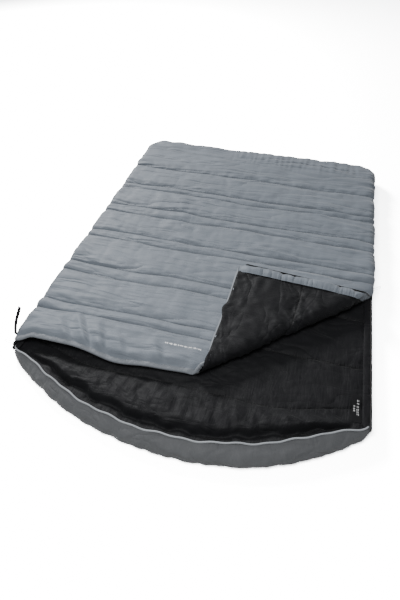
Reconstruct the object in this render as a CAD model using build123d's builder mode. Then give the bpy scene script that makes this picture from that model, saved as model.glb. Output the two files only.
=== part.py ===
"""Double rectangular sleeping bag, lying flat with its right head corner turned back.

Millimetres. +X to the sleeper's right seen from the head, +Y to the foot, +Z up.
The origin is the middle of the footprint, on the floor.
"""
import os
from math import asin, cos, degrees, radians, sin

from build123d import *

os.makedirs("parts", exist_ok=True)

# Outline of the bag, seen from above
length = 2130
head_depth = 260            # from the shoulder line to the top of the curved head end
half_width = 742            # to the cloth wall, without the zips
foot_corner = 100
head_corner = 90
hem_corner = 12
hem_setback = 40            # hem of the top quilt, behind the shoulder line

foot_y = length / 2
head_y = -length / 2
shoulder_y = head_y + head_depth
hem_y = shoulder_y + hem_setback

# Heights
cloth = 1.0
bottom_thick = 48
sleeping_gap = 10
top_thick = 30
fold_gap = 3                # between the top quilt and the corner lying on it

bottom_top = bottom_thick
top_low = bottom_top + sleeping_gap
top_high = top_low + top_thick
fold_high = top_high + fold_gap + top_thick
fold_width = fold_high - top_low

# Diagonal on which the corner is turned back
fold_angle = 42.5
fold_start_y = -105         # where the fold meets the right edge
mitre_clearance = 0.4
low_trim = 5                # cut back each side of a fold for what hangs under the lining

# Zip, standing on edge in the side wall
tape_thick = 1.0
tape_width = 18
coil_thick = 2.6
coil_width = 4.0
coil_gap = 1.6              # between the two rows, where the slider's post runs
zip_head_y = shoulder_y + 10
zip_foot_y = foot_y - 110
zip_z = bottom_top + sleeping_gap / 2
zip_x = half_width + tape_thick / 2
stop_length = 6

# Sliders and pull wires
slider_length = 26
slider_outer_height = 16
slider_inner_height = 6.8
slider_plate = 1.6
slider_clearance = 0.4
post_thick = 1.2
post_length = 8
flange_depth = 0.8
crown_height = 4.2
crown_thick = 2.4
crown_length = 10
eye_radius = 1.5
wire_radius = 0.9
wire_reach = 40
wire_width = 16
wire_corner = 5
left_slider_y = shoulder_y + 35
right_slider_y = -40
right_wire_angle = 35       # swung towards the foot

# Fastening tab on the left side: up and back from its stitch line, springing outwards
tab_width = 23
tab_thick = 2.0
tab_x = -(half_width + 3)
tab_y = hem_y + 20
tab_z = 80
tab_rise = 23
tab_root_angle = 30
tab_bend = 22
tab_bend_radius = 200
tab_tip_length = 50
hook_length = 42
hook_thick = 1.2
patch_size = (1.2, 45, 20)
patch_at = (-half_width, shoulder_y + 75, 19)

# Small pieces
piping_radius = 3
piping_setback = 48         # the head end is full, so its upper seam stands back from the edge
binding_thick = 6
binding_inset = 2
binding_end = 8
tube_width = 28
tube_height = 7
tube_x = 721
seam_half = 640
seam_depth = 19
label_size = (35, 120, 0.6)
label_at = (685.5, shoulder_y + 90)


def export(part, name):
    """Names one finished sub-part and writes its file."""
    part.label = name
    export_step(part, f"parts/{name}.step")


# ---------------------------------------------------------------- outlines
arc_radius = (half_width**2 + head_depth**2) / (2 * head_depth)
arc_centre_y = head_y + arc_radius

with BuildSketch() as bottom_outline:
    with BuildLine():
        Line((-half_width, shoulder_y), (-half_width, foot_y))
        Line((-half_width, foot_y), (half_width, foot_y))
        Line((half_width, foot_y), (half_width, shoulder_y))
        ThreePointArc((half_width, shoulder_y), (0, head_y), (-half_width, shoulder_y))
    make_face()
    corners = bottom_outline.vertices().group_by(Axis.Y)
    fillet(corners[-1], foot_corner)
    shoulders = bottom_outline.vertices().filter_by_position(
        Axis.Y, shoulder_y - 1, shoulder_y + 1
    )
    fillet(shoulders, head_corner)

with BuildSketch() as bottom_inside:
    add(bottom_outline.sketch)
    offset(amount=-cloth, mode=Mode.REPLACE)

with BuildSketch() as top_outline:
    with Locations((0, (hem_y + foot_y) / 2)):
        Rectangle(2 * half_width, foot_y - hem_y)
    corners = top_outline.vertices().group_by(Axis.Y)
    fillet(corners[-1], foot_corner)
    fillet(corners[0], hem_corner)

with BuildSketch() as top_inside:
    add(top_outline.sketch)
    offset(amount=-cloth, mode=Mode.REPLACE)

# ---------------------------------------------------------------- bottom quilt
with BuildPart() as bottom_shell:
    add(bottom_outline.sketch)
    extrude(amount=bottom_top)
    with BuildSketch(Plane.XY.offset(cloth)):
        add(bottom_inside.sketch)
    extrude(amount=bottom_top - cloth, mode=Mode.SUBTRACT)
export(bottom_shell.part, "bottom_shell")

with BuildPart() as bottom_wadding:
    with BuildSketch(Plane.XY.offset(cloth)):
        add(bottom_inside.sketch)
    extrude(amount=bottom_top - 2 * cloth)
export(bottom_wadding.part, "bottom_wadding")

with BuildPart() as bottom_lining:
    with BuildSketch(Plane.XY.offset(bottom_top - cloth)):
        add(bottom_inside.sketch)
    extrude(amount=cloth)
export(bottom_lining.part, "bottom_lining")

# Piped cord along the curved head edge, standing on the lining just inside the wall
piping_line_radius = arc_radius - piping_setback
piping_half_angle = degrees(asin((half_width - head_corner) / arc_radius))
with BuildPart() as head_piping:
    with BuildLine() as piping_line:
        CenterArc(
            (0, arc_centre_y, bottom_top + piping_radius),
            piping_line_radius,
            270 - piping_half_angle,
            2 * piping_half_angle,
        )
    with BuildSketch(piping_line.line ^ 0):
        Circle(piping_radius)
    sweep()
export(head_piping.part, "head_piping")

# Rolled seam allowance that joins the two quilts along the foot
with BuildPart() as foot_seam:
    with BuildSketch(Plane.XY.offset(bottom_top)):
        with Locations((0, foot_y - 1 - seam_depth / 2)):
            RectangleRounded(2 * seam_half, seam_depth, seam_depth / 3)
    extrude(amount=sleeping_gap - 0.3)
export(foot_seam.part, "foot_seam")

with BuildPart() as care_label:
    with Locations((*label_at, bottom_top)):
        Box(*label_size, align=(Align.CENTER, Align.CENTER, Align.MIN))
export(care_label.part, "care_label")

# ---------------------------------------------------------------- top quilt, uncut
with BuildPart() as whole_shell:
    with BuildSketch(Plane.XY.offset(top_low)):
        add(top_outline.sketch)
    extrude(amount=top_thick)
    with BuildSketch(Plane.XY.offset(top_low)):
        add(top_inside.sketch)
    extrude(amount=top_thick - cloth, mode=Mode.SUBTRACT)

with BuildPart() as whole_wadding:
    with BuildSketch(Plane.XY.offset(top_low + cloth)):
        add(top_inside.sketch)
    extrude(amount=top_thick - 2 * cloth)

with BuildPart() as whole_lining:
    with BuildSketch(Plane.XY.offset(top_low)):
        add(top_inside.sketch)
    extrude(amount=cloth)

with BuildPart() as whole_binding:
    with BuildSketch(Plane.XY.offset(top_low + binding_inset)):
        with Locations((0, hem_y - binding_thick / 2)):
            RectangleRounded(
                2 * (half_width - hem_corner - binding_end), binding_thick, binding_thick / 3
            )
    extrude(amount=top_thick - 2 * binding_inset)

# ---------------------------------------------------------------- zips
coil_offset = (coil_gap + coil_width) / 2
tape_offset = coil_gap / 2 + coil_width + tape_width / 2
top_zip_head_y = hem_y + 5


def zip_tape(side, level, start_y):
    """One woven tape on edge: side -1 left or 1 right, level -1 bottom or 1 top."""
    with BuildPart() as tape:
        with Locations((side * zip_x, (start_y + zip_foot_y) / 2, zip_z + level * tape_offset)):
            Box(tape_thick, zip_foot_y - start_y, tape_width)
    return tape.part


def zip_coil(side, level, start_y):
    """One coiled row of teeth between its stops, as the bar that its turns fill."""
    first = start_y + stop_length
    with BuildPart() as coil:
        with BuildSketch(Plane.XZ.offset(-first)):
            with Locations((side * zip_x, zip_z + level * coil_offset)):
                RectangleRounded(coil_thick, coil_width, coil_thick / 4)
        extrude(amount=-(zip_foot_y - stop_length - first))
    return coil.part


def zip_stops(side):
    """Clamped metal stops at both ends of the bottom row."""
    ends = (zip_head_y + stop_length / 2, zip_foot_y - stop_length / 2)
    with BuildPart() as stops:
        with Locations([(side * zip_x, y, zip_z - coil_offset) for y in ends]):
            Box(coil_thick + 0.6, stop_length, coil_width)
    return stops.part


for side, hand in ((-1, "left"), (1, "right")):
    export(zip_tape(side, -1, zip_head_y), f"bottom_zip_tape_{hand}")
    export(zip_coil(side, -1, zip_head_y), f"bottom_zip_coil_{hand}")
    export(zip_stops(side), f"bottom_zip_stops_{hand}")
    with BuildPart() as draught_tube:
        with BuildSketch(Plane.XZ.offset(-zip_head_y)):
            with Locations((side * tube_x, bottom_top + tube_height / 2)):
                SlotOverall(tube_width, tube_height)
        extrude(amount=-(zip_foot_y - zip_head_y))
    export(draught_tube.part, f"draught_tube_{hand}")

export(zip_tape(-1, 1, top_zip_head_y), "top_zip_tape_left")
export(zip_coil(-1, 1, top_zip_head_y), "top_zip_coil_left")
whole_zip_tape = zip_tape(1, 1, top_zip_head_y)
whole_zip_coil = zip_coil(1, 1, top_zip_head_y)

# ---------------------------------------------------------------- the fold
# s runs square to the fold towards the head corner, and is 0 at the crease.
# Laid flat, the quilt is the main panel up to s = 0, a spine fold_width wide, then the corner.
# Each joint between them is mitred, so that the spine can stand up and the corner lie over.
fold_along = Vector(cos(radians(fold_angle)), sin(radians(fold_angle)), 0)
fold_across = Vector(sin(radians(fold_angle)), -cos(radians(fold_angle)), 0)
up = Vector(0, 0, 1)
crease_low = Vector(half_width, fold_start_y, top_low)
flat_tip = crease_low + fold_across * fold_width

main_mitre = Plane(
    origin=crease_low - fold_across * mitre_clearance, z_dir=-fold_across - up
)
spine_near_mitre = Plane(
    origin=crease_low + fold_across * mitre_clearance, z_dir=fold_across - up
)
spine_far_mitre = Plane(
    origin=flat_tip - fold_across * mitre_clearance, z_dir=-fold_across - up
)
corner_mitre = Plane(
    origin=flat_tip + fold_across * mitre_clearance, z_dir=fold_across - up
)
main_trim = Plane(origin=crease_low - fold_across * low_trim, z_dir=-fold_across)
spine_near_trim = Plane(origin=crease_low + fold_across * low_trim, z_dir=fold_across)
spine_far_trim = Plane(origin=flat_tip - fold_across * low_trim, z_dir=-fold_across)
corner_trim = Plane(origin=flat_tip + fold_across * low_trim, z_dir=fold_across)

spine_axis = Axis(crease_low, fold_along)
turn_axis = Axis(flat_tip + (crease_low - flat_tip) / 2 + up * fold_width / 2, fold_along)


def cut(whole, *planes):
    """What is left of a part on the near side of each plane."""
    with BuildPart() as piece:
        add(whole)
        for plane in planes:
            split(bisect_by=plane, keep=Keep.TOP)
    return piece.part


mitres = ([main_mitre], [spine_near_mitre, spine_far_mitre], [corner_mitre])
trims = ([main_trim], [spine_near_trim, spine_far_trim], [corner_trim])
folded = {
    "shell": (whole_shell.part, mitres),
    "wadding": (whole_wadding.part, mitres),
    "lining": (whole_lining.part, mitres),
    "hem_binding": (whole_binding.part, mitres),
    "zip_tape_right": (whole_zip_tape, mitres),
    "zip_coil_right": (whole_zip_coil, trims),
}
for name, (whole, (main_cut, spine_cut, corner_cut)) in folded.items():
    export(cut(whole, *main_cut), f"top_{name}")
    export(cut(whole, *spine_cut).rotate(spine_axis, -90), f"fold_{name}")
    export(cut(whole, *corner_cut).rotate(turn_axis, 180), f"corner_{name}")

# ---------------------------------------------------------------- sliders
inner_face = zip_x - coil_thick / 2 - slider_clearance
outer_face = zip_x + coil_thick / 2 + slider_clearance
crown_face = outer_face + slider_plate
eye_x = crown_face + 2.0

for side, hand, slider_y in ((-1, "left", left_slider_y), (1, "right", right_slider_y)):
    with BuildPart() as slider_body:
        with Locations((side * (inner_face - slider_plate / 2), slider_y, zip_z)):
            Box(slider_plate, slider_length - 2, slider_inner_height)
        with Locations((side * (outer_face + slider_plate / 2), slider_y, zip_z)):
            Box(slider_plate, slider_length, slider_outer_height)
        fillet(
            slider_body.edges().filter_by(Axis.X).group_by(Axis.Z)[-1]
            + slider_body.edges().filter_by(Axis.X).group_by(Axis.Z)[0],
            4,
        )
        # post between the rows of teeth, at the end that parts them
        with Locations((side * (inner_face + outer_face) / 2, slider_y - 7, zip_z)):
            Box(outer_face - inner_face, post_length, post_thick)
        # lip behind the bottom row
        lip_z = zip_z - slider_outer_height / 2 + 1.2
        with Locations((side * (outer_face - flange_depth / 2), slider_y, lip_z)):
            Box(flange_depth, slider_length - 10, 1.6)
        # crown with the eye for the pull wire
        with BuildSketch(Plane.XY.offset(zip_z - crown_thick / 2)):
            with Locations((side * (crown_face + crown_height / 2), slider_y)):
                RectangleRounded(crown_height, crown_length, 1.4)
            with Locations((side * (crown_face + 0.9), slider_y)):
                Rectangle(1.8, crown_length)
            with Locations((side * eye_x, slider_y)):
                Circle(eye_radius, mode=Mode.SUBTRACT)
        extrude(amount=crown_thick)
    export(slider_body.part, f"slider_body_{hand}")

    swing = 0 if side < 0 else right_wire_angle
    pivot = Plane(
        origin=(side * eye_x, slider_y, zip_z),
        x_dir=(side * cos(radians(swing)), sin(radians(swing)), 0),
        z_dir=(sin(radians(swing)), -side * cos(radians(swing)), 0),
    )
    with BuildPart() as pull_wire:
        with BuildLine(pivot) as wire_line:
            FilletPolyline(
                (0, -wire_width / 2),
                (wire_reach, -wire_width / 2),
                (wire_reach, wire_width / 2),
                (0, wire_width / 2),
                radius=wire_corner,
                close=True,
            )
        with BuildSketch(wire_line.line ^ 0):
            Circle(wire_radius)
        sweep()
    export(pull_wire.part, f"pull_wire_{hand}")

# ---------------------------------------------------------------- fastening tab
# Drawn in the plane across its width: x along the quilt's side, y away from it
tab_side = Plane(
    origin=(tab_x, tab_y, tab_z),
    x_dir=(0, cos(radians(tab_rise)), sin(radians(tab_rise))),
    z_dir=(0, -sin(radians(tab_rise)), cos(radians(tab_rise))),
)
with BuildPart() as tab_strap:
    with BuildSketch(tab_side):
        with BuildLine():
            root = JernArc(
                start=(0, 0),
                tangent=(cos(radians(tab_root_angle)), sin(radians(tab_root_angle))),
                radius=tab_bend_radius,
                arc_size=-tab_bend,
            )
            tip = Line(root @ 1, root @ 1 + tab_tip_length * (root % 1))
        trace(line_width=tab_thick)
    extrude(amount=tab_width / 2, both=True)
export(tab_strap.part, "tab_strap")

hook_middle = tip @ 1 - (tip % 1) * hook_length / 2
with BuildPart() as tab_hook:
    with BuildSketch(tab_side):
        with Locations(Location(hook_middle, (0, 0, tab_root_angle - tab_bend))):
            with Locations((0, -(tab_thick + hook_thick) / 2)):
                Rectangle(hook_length, hook_thick)
    extrude(amount=tab_width / 2 - 1, both=True)
export(tab_hook.part, "tab_hook")

with BuildPart() as tab_patch:
    with Locations(patch_at):
        Box(*patch_size, align=(Align.MAX, Align.CENTER, Align.CENTER))
export(tab_patch.part, "tab_patch")
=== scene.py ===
"""Wide rectangular sleeping bag on a studio floor, its right head corner turned back."""
import math

import bmesh
import bpy
import numpy as np
from mathutils import Matrix, Vector, noise
from mathutils.bvhtree import BVHTree


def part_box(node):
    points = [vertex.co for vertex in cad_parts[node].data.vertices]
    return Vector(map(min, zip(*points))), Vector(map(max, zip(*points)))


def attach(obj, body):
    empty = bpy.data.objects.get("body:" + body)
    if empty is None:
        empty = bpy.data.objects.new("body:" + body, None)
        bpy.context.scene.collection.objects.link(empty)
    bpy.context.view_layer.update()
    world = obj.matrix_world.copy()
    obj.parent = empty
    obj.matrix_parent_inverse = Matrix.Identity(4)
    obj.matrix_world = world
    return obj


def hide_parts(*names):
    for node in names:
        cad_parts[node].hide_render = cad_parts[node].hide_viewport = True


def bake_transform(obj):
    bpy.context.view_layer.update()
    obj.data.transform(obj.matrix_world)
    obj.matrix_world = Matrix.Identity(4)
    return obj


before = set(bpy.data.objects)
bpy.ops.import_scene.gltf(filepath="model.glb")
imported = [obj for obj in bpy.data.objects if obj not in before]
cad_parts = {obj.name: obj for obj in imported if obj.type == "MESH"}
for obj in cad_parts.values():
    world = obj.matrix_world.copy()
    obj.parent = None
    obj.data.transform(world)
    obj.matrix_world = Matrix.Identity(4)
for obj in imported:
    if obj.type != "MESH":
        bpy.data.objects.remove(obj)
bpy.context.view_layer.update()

# ---------------- camera
# Held at standing height by the head end of the bag,
# looking down and a little to the left.
def place_object(name, data):
    """A new object in the scene."""
    placed = bpy.data.objects.new(name, data)
    bpy.context.collection.objects.link(placed)
    return placed


camera = place_object("camera", bpy.data.cameras.new("camera"))
bpy.context.scene.camera = camera
camera.data.lens = 26.5
camera_place = (0.336, -1.701, 1.557)
camera_aside, camera_tilt, camera_roll = (math.radians(a) for a in (15.16, 43.57, -0.2))
camera.matrix_world = (
    Matrix.Translation(camera_place)
    @ Matrix.Rotation(camera_aside, 4, "Z")
    @ Matrix.Rotation(camera_tilt, 4, "X")
    @ Matrix.Rotation(camera_roll, 4, "Z")
)

# ---------------- floor and lights
# White studio paper, bright to the eye but throwing back no more light than paper does. One soft
# box hangs over the head end, and a stronger one stands behind on the left, to rake the folds.
floor_half = 12


def piece_from(name, shape):
    """A new object made of a finished bmesh."""
    data = bpy.data.meshes.new(name)
    shape.to_mesh(data)
    shape.free()
    return place_object(name, data)


floor_shape = bmesh.new()
bmesh.ops.create_grid(floor_shape, x_segments=1, y_segments=1, size=floor_half)
floor = piece_from("floor", floor_shape)

paper = bpy.data.materials.new("paper")
paper.use_nodes = True
paper_nodes, paper_links = paper.node_tree.nodes, paper.node_tree.links
paper_nodes.remove(paper_nodes["Principled BSDF"])
seen_paper = paper_nodes.new("ShaderNodeBsdfDiffuse")
seen_paper.inputs["Color"].default_value = (16.0, 16.0, 15.8, 1)
lit_paper = paper_nodes.new("ShaderNodeBsdfDiffuse")
lit_paper.inputs["Color"].default_value = (0.82, 0.82, 0.81, 1)
paper_ray = paper_nodes.new("ShaderNodeLightPath")
paper_mix = paper_nodes.new("ShaderNodeMixShader")
paper_links.new(paper_ray.outputs["Is Camera Ray"], paper_mix.inputs["Fac"])
paper_links.new(lit_paper.outputs["BSDF"], paper_mix.inputs[1])
paper_links.new(seen_paper.outputs["BSDF"], paper_mix.inputs[2])
paper_links.new(paper_mix.outputs["Shader"], paper_nodes["Material Output"].inputs["Surface"])
floor.data.materials.append(paper)

studio = bpy.data.worlds.new("studio")
studio.use_nodes = True
surround = studio.node_tree.nodes["Background"].inputs
surround["Color"].default_value = (0.93, 0.96, 1.0, 1)
surround["Strength"].default_value = 0.24
bpy.context.scene.world = studio

for light_name, place, aim, size, power in (
    ("overhead", (-0.1, -1.3, 2.2), (-0.1, -0.6, 0.0), 1.2, 40),
    ("behind", (-3.3, 3.3, 2.7), (0.0, -0.3, 0.0), 1.2, 330),
):
    lamp = bpy.data.lights.new(light_name, "AREA")
    lamp.size = size
    lamp.energy = power
    light = place_object(light_name, lamp)
    light.location = place
    light.rotation_euler = (Vector(aim) - Vector(place)).to_track_quat("-Z", "Y").to_euler()

# ---------------- bottom quilt, outer cloth
# Brushed polyester, a flat underside and a boxed band all round it. The band is cut as one long
# strip, eased on to the underside, and stands tall and full round the curved head end.
shell_low, shell_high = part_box("bottom_shell")
half_width = shell_high.x
head_y = shell_low.y
foot_y = shell_high.y
shoulder_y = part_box("bottom_zip_tape_left")[0].y - 0.010
arc_depth = shoulder_y - head_y
arc_radius = (half_width**2 + arc_depth**2) / (2 * arc_depth)
arc_y = head_y + arc_radius
head_corner = 0.090
foot_corner = 0.100
head_corner_y = arc_y - math.sqrt((arc_radius - head_corner) ** 2 - (half_width - head_corner) ** 2)
head_corner_turn = math.asin((half_width - head_corner) / (arc_radius - head_corner))
grey = (0.178, 0.201, 0.232)
rim_inset = 0.005
rim_lean = 0.046
band_width = 0.105


def smooth(value, start, end):
    """0 before start, 1 after end, eased between."""
    t = np.clip((value - start) / (end - start), 0, 1)
    return t * t * (3 - 2 * t)


def hump(value, middle, width):
    """A bell-shaped rise to 1 at the middle."""
    return np.exp(-(((value - middle) / width) ** 2))


def off_row(gap, reach):
    """0 on a sewn row, and nearly 1 at a few times reach from it."""
    return 1 - np.exp(-gap / reach)


def axes(tree, place):
    """The X, Y and Z of a vector socket."""
    split = tree.nodes.new("ShaderNodeSeparateXYZ")
    tree.links.new(place, split.inputs["Vector"])
    return split.outputs


def outline(count):
    """The bag's edge as evenly spaced points and outward normals, from the right shoulder round by
    the foot, with its length."""
    arcs = (
        (half_width - foot_corner, foot_y - foot_corner, foot_corner, 0, math.pi / 2),
        (-half_width + foot_corner, foot_y - foot_corner, foot_corner, math.pi / 2, math.pi),
        (-half_width + head_corner, head_corner_y, head_corner, math.pi, 1.5 * math.pi - head_corner_turn),
        (0, arc_y, arc_radius, 1.5 * math.pi - head_corner_turn, 1.5 * math.pi + head_corner_turn),
        (half_width - head_corner, head_corner_y, head_corner, 1.5 * math.pi + head_corner_turn, 2 * math.pi),
    )
    corners = [
        (cx + r * math.cos(t), cy + r * math.sin(t))
        for cx, cy, r, start, end in arcs
        for t in np.linspace(start, end, 40)
    ]
    corners = np.array(corners + corners[:1])
    run = np.concatenate([[0], np.cumsum(np.linalg.norm(np.diff(corners, axis=0), axis=1))])
    at = np.linspace(0, run[-1], count + 1)
    x, y = (np.interp(at, run, corners[:, k]) for k in (0, 1))
    tx, ty = (np.gradient(v) for v in (x, y))
    for v in (tx, ty):
        v[0] = v[-1] = (v[0] + v[-1]) / 2
    size = np.hypot(tx, ty)
    return x, y, ty / size, -tx / size, run[-1]


edge_x, edge_y, edge_nx, edge_ny, edge_length = outline(1600)


def along_edge(u):
    """Point and outward normal on the bag's edge, u from 0 to 1 round it."""
    at = np.linspace(0, 1, len(edge_x))
    return [np.interp(u, at, v) for v in (edge_x, edge_y, edge_nx, edge_ny)]


def head_share(y):
    """0 along the bag's sides and foot, 1 round its head end."""
    return smooth(y, shoulder_y + 0.045, shoulder_y - 0.10)


def lean_in(x, y, reach):
    """Moves points at the head end towards the middle of the arc."""
    shift = reach * head_share(y) / np.hypot(x, y - arc_y)
    return x - x * shift, y - (y - arc_y) * shift


def rim_height(y):
    """Height of the seam round the top of the band."""
    return 0.0465 + 0.0195 * head_share(y)


def wander(x, seed, reach, length=0.55):
    """A slow sideways drift along a sewn line, in metres."""
    draw = np.random.RandomState(seed)
    out = 0
    for k in range(1, 6):
        bend = 2 * math.pi * x * k / length / 1.7 + draw.uniform(0, 6.3)
        out = out + np.sin(bend) * draw.uniform(0.4, 1) / k
    return reach * out / 1.6


def folds(x, y, along, across, seed, octaves=3):
    """Puffs between sharp valleys, 0 to 1; along and across are their sizes in metres."""
    lumps = [noise.fractal((a, b, seed), 0.9, 2.0, octaves) for a, b in zip(x / along, y / across)]
    return np.minimum(1, 1.9 * np.abs(np.array(lumps)))


def mesh_points(piece):
    """A piece's vertices as rows of x, y, z."""
    co = np.zeros(len(piece.data.vertices) * 3)
    piece.data.vertices.foreach_get("co", co)
    return co.reshape(-1, 3)


def set_points(piece, points):
    """Moves a piece's vertices to rows of x, y, z."""
    piece.data.vertices.foreach_set("co", np.ascontiguousarray(points, dtype=float).ravel())
    piece.data.update()


def cut_grid(name, columns, lines):
    """A piece of cloth as a plain grid from -1 to 1, with its vertices' column and line numbers."""
    cut = bmesh.new()
    bmesh.ops.create_grid(cut, x_segments=columns, y_segments=lines, size=1)
    piece = piece_from(name, cut)
    points = mesh_points(piece)
    return piece, np.rint((points[:, 0] + 1) / 2 * columns), np.rint((points[:, 1] + 1) / 2 * lines)


def mark_cloth(piece, x, y, gap, line=None):
    """Stores the flat pattern as a UV map, each point's distance to its nearest seam, and the
    creases along the sewn lines."""
    data = piece.data
    gaps = data.attributes.new("seam_gap", "FLOAT", "POINT")
    gaps.data.foreach_set("value", np.asarray(gap, dtype=float))
    corner = np.zeros(len(data.loops), dtype=int)
    data.loops.foreach_get("vertex_index", corner)
    data.uv_layers.new(name="flat").data.foreach_set("uv", np.stack([x, y], 1)[corner].ravel())
    if line is not None:
        ends = np.zeros(len(data.edges) * 2, dtype=int)
        data.edges.foreach_get("vertices", ends)
        a, b = ends.reshape(-1, 2).T
        sharp = np.where((line[a] >= 0) & (line[a] == line[b]), 0.85, 0.0)
        data.attributes.new("crease_edge", "FLOAT", "EDGE").data.foreach_set("value", sharp)


def evaluated(piece):
    """The piece with its modifiers applied."""
    return piece.evaluated_get(bpy.context.evaluated_depsgraph_get())


def seam_gap(piece):
    """Each vertex's distance to its nearest seam, as mark_cloth stored it."""
    gap = np.zeros(len(piece.data.vertices))
    piece.data.attributes["seam_gap"].data.foreach_get("value", gap)
    return gap


def lay_rows(j, counts, lines, ease=0.0):
    """Spreads a grid's lines j between sewn rows; gives y, the share of the way between two rows,
    the distance to the nearest, and whether a vertex is on one."""
    sewn = np.cumsum([0] + counts)
    channel = np.clip(np.searchsorted(sewn, j, side="right") - 1, 0, len(counts) - 1)
    share = (j - sewn[channel]) / np.array(counts)[channel]
    share = share - ease * np.sin(2 * math.pi * share) / (2 * math.pi)
    each = np.arange(len(j))
    y = lines[channel, each] * (1 - share) + lines[channel + 1, each] * share
    return y, share, np.min(np.abs(y - lines), axis=0), np.isin(j, sewn)


def sewn_cloth(name, rows, counts, columns, half, slack, swell, seed, frames=22, loose=None):
    """Cloth cut flat, pinned down along its sewn rows and edges, and blown up between them.

    rows are functions of x, from the first edge to the last; the cloth is a little larger than its frame,
    so it puckers. x and y stay along the cloth and z is how far it stands up."""
    piece, i, j = cut_grid(name, columns, sum(counts))
    x = (2 * i / columns - 1) * half
    y, share, gap, held = lay_rows(j, counts, np.array([row(x) for row in rows]), 0.6)
    row = np.where(held, j, -1)
    held = held | (i == 0) | (i == columns)
    draw = np.random.RandomState(seed)
    lift = draw.normal(0, 0.0004, len(x)) + 0.0012 * np.sin(x * 31 + y * 23 + seed) * np.sin(y * 47 - x * 17)
    set_points(piece, np.stack([x, y, np.where(held, 0, np.abs(lift))], 1))
    group = piece.vertex_groups.new(name="sewn")
    group.add([int(v) for v in np.flatnonzero(held)], 1, "REPLACE")
    cloth = piece.modifiers.new("cloth", "CLOTH")
    polyester = cloth.settings
    polyester.quality = 5
    polyester.mass = 0.12
    polyester.tension_stiffness = 22
    polyester.compression_stiffness = 22
    polyester.shear_stiffness = 9
    polyester.bending_stiffness = 0.12
    polyester.air_damping = 4
    polyester.vertex_group_mass = "sewn"
    polyester.shrink_min = -slack
    if loose is not None:
        full = piece.vertex_groups.new(name="full")
        for v, weight in enumerate(loose(x, y)):
            full.add([v], float(weight), "REPLACE")
        polyester.vertex_group_shrink = "full"
        polyester.shrink_max = -slack * 2.6
    polyester.use_pressure = True
    polyester.uniform_pressure_force = swell
    polyester.effector_weights.gravity = 0
    cloth.collision_settings.use_collision = False
    scene = bpy.context.scene
    for step in range(1, frames + 1):
        scene.frame_set(step)
    blown = bpy.data.meshes.new_from_object(evaluated(piece))
    piece.modifiers.clear()
    piece.vertex_groups.clear()
    piece.data = blown
    scene.frame_set(1)
    mark_cloth(piece, x, y, gap, row)
    return piece


def cross_rows(places, seed, reach, rise=0.0):
    """Sewn rows across the bag, each drifting a little; the first one rises at its ends."""
    return [
        lambda x, y=y, n=n: y + wander(x, seed + n, reach) + rise * (n == 0) * smooth(np.abs(x), 0.35, 0.74)
        for n, y in enumerate(places)
    ]


def curve_between(v, points):
    """A value on the curve that four control values draw, at v from 0 to 1."""
    a, b, c, d = points
    return a * (1 - v) ** 3 + 3 * b * v * (1 - v) ** 2 + 3 * c * v * v * (1 - v) + d * v**3


def mend(piece, weld=0.0, cap=False):
    """Welds vertices closer than weld, fills open ends if asked, and makes the faces face one way."""
    shape = bmesh.new()
    shape.from_mesh(piece.data)
    if weld:
        bmesh.ops.remove_doubles(shape, verts=shape.verts, dist=weld)
    if cap:
        bmesh.ops.holes_fill(shape, edges=[e for e in shape.edges if e.is_boundary], sides=40)
    bmesh.ops.recalc_face_normals(shape, faces=shape.faces)
    shape.to_mesh(piece.data)
    shape.free()


def dress(piece, material, levels=1):
    """A material, smooth shading, and a subdivision surface."""
    piece.data.materials.append(material)
    piece.data.polygons.foreach_set("use_smooth", [True] * len(piece.data.polygons))
    if levels:
        rounded = piece.modifiers.new("rounded", "SUBSURF")
        rounded.levels = levels
        rounded.render_levels = levels
    piece.data.update()


def fit_outline(x, y, inset):
    """Rounds the corners of a panel laid out between straight sides and the head arc."""
    side = np.sign(x)
    ax = np.abs(x)
    cx = half_width - head_corner
    dx, dy = ax - cx, y - head_corner_y
    turn = np.arctan2(dy, dx)
    in_head = (dx > 0) & (turn < 0) & (turn > -math.pi / 2 + head_corner_turn)
    co, si = np.cos(turn), np.sin(turn)
    to_side = (head_corner - inset) / np.maximum(co, 1e-6)
    b = cx * co + (head_corner_y - arc_y) * si
    c = cx**2 + (head_corner_y - arc_y) ** 2 - (arc_radius - inset) ** 2
    to_arc = -b + np.sqrt(np.maximum(b * b - c, 0))
    pull = np.where(in_head, (head_corner - inset) / np.minimum(to_side, to_arc), 1)
    ax, y = cx + dx * pull, head_corner_y + dy * pull
    fx, fy = half_width - foot_corner, foot_y - foot_corner
    dx, dy = ax - fx, y - fy
    in_foot = (dx > 0) & (dy > 0)
    far = np.maximum(np.maximum(dx, dy), 1e-9) / np.maximum(np.hypot(dx, dy), 1e-9)
    ax = np.where(in_foot, fx + dx * far, ax)
    y = np.where(in_foot, fy + dy * far, y)
    return side * ax, y


def head_line(x, inset):
    """Where the head arc, set in by inset, crosses x."""
    return arc_y - np.sqrt((arc_radius - inset) ** 2 - x**2)


def feed(tree, socket, value):
    """Fills an input from another node's socket or with a plain number."""
    if isinstance(value, bpy.types.NodeSocket):
        tree.links.new(value, socket)
    else:
        socket.default_value = value


def calc(tree, operation, *values):
    """A Math node on sockets or plain numbers."""
    node = tree.nodes.new("ShaderNodeMath")
    node.operation = operation
    for socket, value in zip(node.inputs, values):
        feed(tree, socket, value)
    return node.outputs["Value"]


def open_group(name, inputs, outputs):
    """A new node group with named sockets; gives back the group, its given values and its results."""
    group = bpy.data.node_groups.new(name, "ShaderNodeTree")
    for label in inputs:
        kind = "NodeSocketVector" if label == "Place" else "NodeSocketFloat"
        group.interface.new_socket(label, in_out="INPUT", socket_type=kind)
    for label in outputs:
        group.interface.new_socket(label, in_out="OUTPUT", socket_type="NodeSocketFloat")
    return group, group.nodes.new("NodeGroupInput").outputs, group.nodes.new("NodeGroupOutput").inputs


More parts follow.
